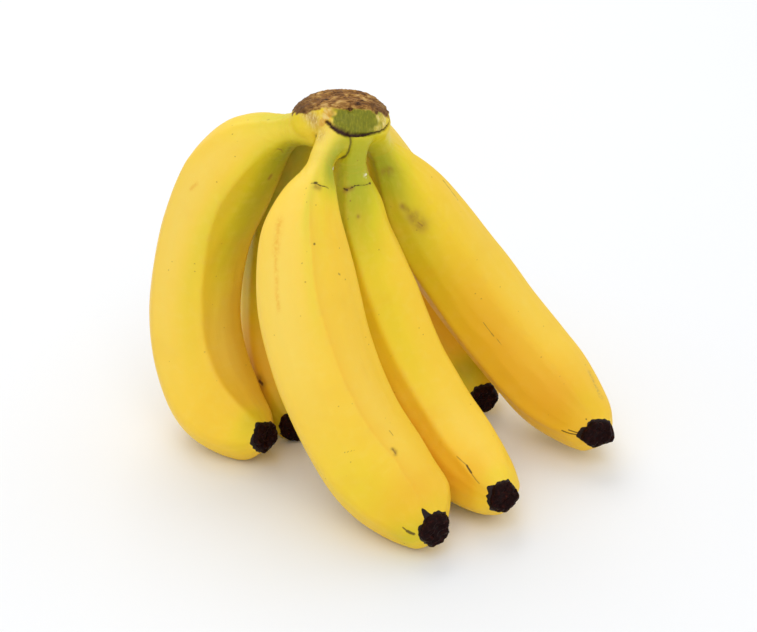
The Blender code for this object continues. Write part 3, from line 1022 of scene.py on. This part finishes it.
for kind, deep in RELIEF.items():
    marks[kind] = marks[kind] * on_stalk
    push = push + deep * marks[kind]
points = points + normals * push[:, None]
mesh.vertices.foreach_set("co", (points * MM).astype(np.float32).ravel())
marks["ridge"] = marks["ridge"] * on_stalk * smooth_step(along, 8.0, 16.0)
# The stalks keep the peel's green, painted sheen, and gold with painted shade; the green and the sheen blur
# out into the cushion
still = smooth_step(along, 12.0, 17.0)
tones = np.stack([marks["green"], marks["pale"], still], 1)
for _ in range(40):
    tones = averaged(tones, edges, 0.6 * (1.0 - still)[:, None])
marks["green"], marks["pale"] = tones[:, 0], tones[:, 1] * on_stalk
said = {"cut": cut, "bract": scar, "cork": cork, "torn": torn, "cream": cream, "sap": sap, "pad": green_pad,
        "between": painted_crease_shade, "tail": tail * cut}
for key, values in {**marks, **said}.items():
    store(mesh, key, values)
store(mesh, "straight", still[:, None] * straightened(along, turn) + (1.0 - still)[:, None] * points)
mesh.update()
print("crown reaches", round(float(points[:, 2].max()), 1), "mm")

# %% [markdown]
# ## The crown's finish
#
# It starts as the same peel, so the stalks match the fruit they grow into. Over that go
# painted shade in the creases between the stalks, cream, cork with pale streaks, the
# orange tear, the dried cut face in four browns with stringy fibres, the purple scar and
# one drop of dried sap.

# %% Crown material
crown_material, tree = new_tree("banana crown")
colour, height, roughness = peel_layers(tree)
seen = {key: add(tree, "Attribute", give="Fac", attribute_name=key) for key in
        ("cut", "bract", "cork", "torn", "cream", "sap", "pad", "between", "tail")}
spot = add(tree, "Attribute", give="Vector", attribute_name="straight")
strings, streak = (
    add(
        tree, "TexNoise",
        {"Vector": add(tree, "Mapping", {"Vector": spot, "Rotation": turned, "Scale": stretch}),
         "Scale": scale, "Detail": detail, "Roughness": 0.65, "Distortion": wavy},
    )
    for stretch, turned, scale, detail, wavy in (
        ((0.22, 1.0, 1.0), (0.3, 0.2, 0.5), 1.0, 5.0, 0.5),
        ((1.6, 1.0, 0.35), (0.0, 0.5, 0.0), 0.9, 4.0, 0.0),
    )
)
grain = add(tree, "TexNoise", {"Vector": spot, "Scale": 0.22, "Detail": 4.0, "Distortion": 0.8})
blend = add(tree, "Math", {"Value": strings, "Value_001": grain}, operation="ADD")
halved = add(tree, "Math", {"Value": blend, "Value_001": 0.5}, operation="MULTIPLY")
cut_stops = ((0.38, "#341E10"), (0.44, "#63401F"), (0.50, "#8A5E2C"), (0.56, "#B08444"), (0.64, "#D4B070"))
cut_colour, pad_colour, cream_colour, torn_colour, cork_colour = (
    add(tree, "ValToRGB", {"Fac": value}, stops=stops) for value, stops in (
        (halved, cut_stops),
        (streak, ((0.30, "#6E7014"), (0.50, "#7E7E18"), (0.70, "#949022"))),
        (streak, ((0.35, "#B9A93C"), (0.50, "#D6BF5A"), (0.66, "#EADB90"))),
        (grain, ((0.35, "#CE9030"), (0.50, "#DCAC4A"), (0.65, "#ECD07C"))),
        (streak, ((0.34, "#B08A44"), (0.48, "#C6A256"), (0.60, "#DDC584"), (0.74, "#F1E6BE"))),
    )
)
# First the painted shade in the creases between the stalks, then the crown's own colours
for strength, paint in (
    (seen["between"], hex_colour("#5A4A16")), (seen["pad"], pad_colour), (seen["cream"], cream_colour),
    (seen["cork"], cork_colour), (seen["torn"], torn_colour), (seen["cut"], cut_colour),
    (seen["tail"], hex_colour("#6A4A2A")), (seen["bract"], hex_colour("#33120F")),
    (seen["sap"], hex_colour("#F7F1DF")),
):
    sockets = {"Factor_Float": strength, "A_Color": colour, "B_Color": paint}
    colour = add(tree, "Mix", sockets, data_type="RGBA")
dry = add(tree, "Mix", {"Factor_Float": seen["cut"], "A_Float": roughness, "B_Float": 0.8})
height = add(tree, "Mix", {"Factor_Float": seen["cut"], "A_Float": height, "B_Float": strings})
finish_material(colour, height, dry, tree, 0.6, **peel_shine)
mesh.materials.clear()
mesh.materials.append(crown_material)
mesh.shade_smooth()
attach(crown, "root")
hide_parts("crown")
print("crown nodes:", len(tree.nodes))

# %% [markdown]
# ## Floor and light
#
# The photo is a studio shot on white: large soft boxes high up in front and behind,
# white all round, and shadows only where the fruit nearly touches the floor.

# %% Floor, world and lights
bpy.context.scene.view_settings.view_transform = "Standard"
floor_material, tree = new_tree("white studio floor")
place = add(tree, "TexCoord", give="Object")
speck = add(tree, "TexNoise", {"Scale": 3.0, "Vector": place})
floor_colour = add(tree, "ValToRGB", {"Fac": speck}, stops=((0.0, "#F0F2F5"), (1.0, "#F2F4F7")))
floor_shader = add(tree, "BsdfPrincipled", {"Base Color": floor_colour, "Roughness": 0.9})
add(tree, "OutputMaterial", {"Surface": floor_shader})
floor_mesh = bpy.data.meshes.new("floor")
HALF_FLOOR = 5.0
corners = [(x * HALF_FLOOR, y * HALF_FLOOR, 0.0) for x, y in ((-1, -1), (1, -1), (1, 1), (-1, 1))]
floor_mesh.from_pydata(corners, [], [(0, 1, 2, 3)])
floor_mesh.materials.append(floor_material)
floor = bpy.data.objects.new("floor", floor_mesh)
bpy.context.scene.collection.objects.link(floor)

world = bpy.data.worlds.new("white room")
world.use_nodes = True
world.node_tree.nodes["Background"].inputs["Color"].default_value = (1.0, 1.0, 1.0, 1.0)
world.node_tree.nodes["Background"].inputs["Strength"].default_value = 0.81
bpy.context.scene.world = world


def soft_box(name, place, aim, size, watts):
    """A square area light at a place, turned to face another."""
    light = bpy.data.lights.new(name, "AREA")
    light.size, light.energy = size, watts
    made = bpy.data.objects.new(name, light)
    made.location = place
    towards = Vector(aim) - Vector(place)
    made.rotation_euler = towards.to_track_quat("-Z", "Y").to_euler()
    bpy.context.scene.collection.objects.link(made)
    return made


soft_box("front overhead", (0.0, -0.9, 1.2), (0.0, 0.0, 0.05), 1.0, 4.4)
soft_box("back overhead", (-0.3, 0.9, 1.2), (0.0, 0.0, 0.05), 1.0, 5.9)

# %% Update the scene
bpy.context.view_layer.update()
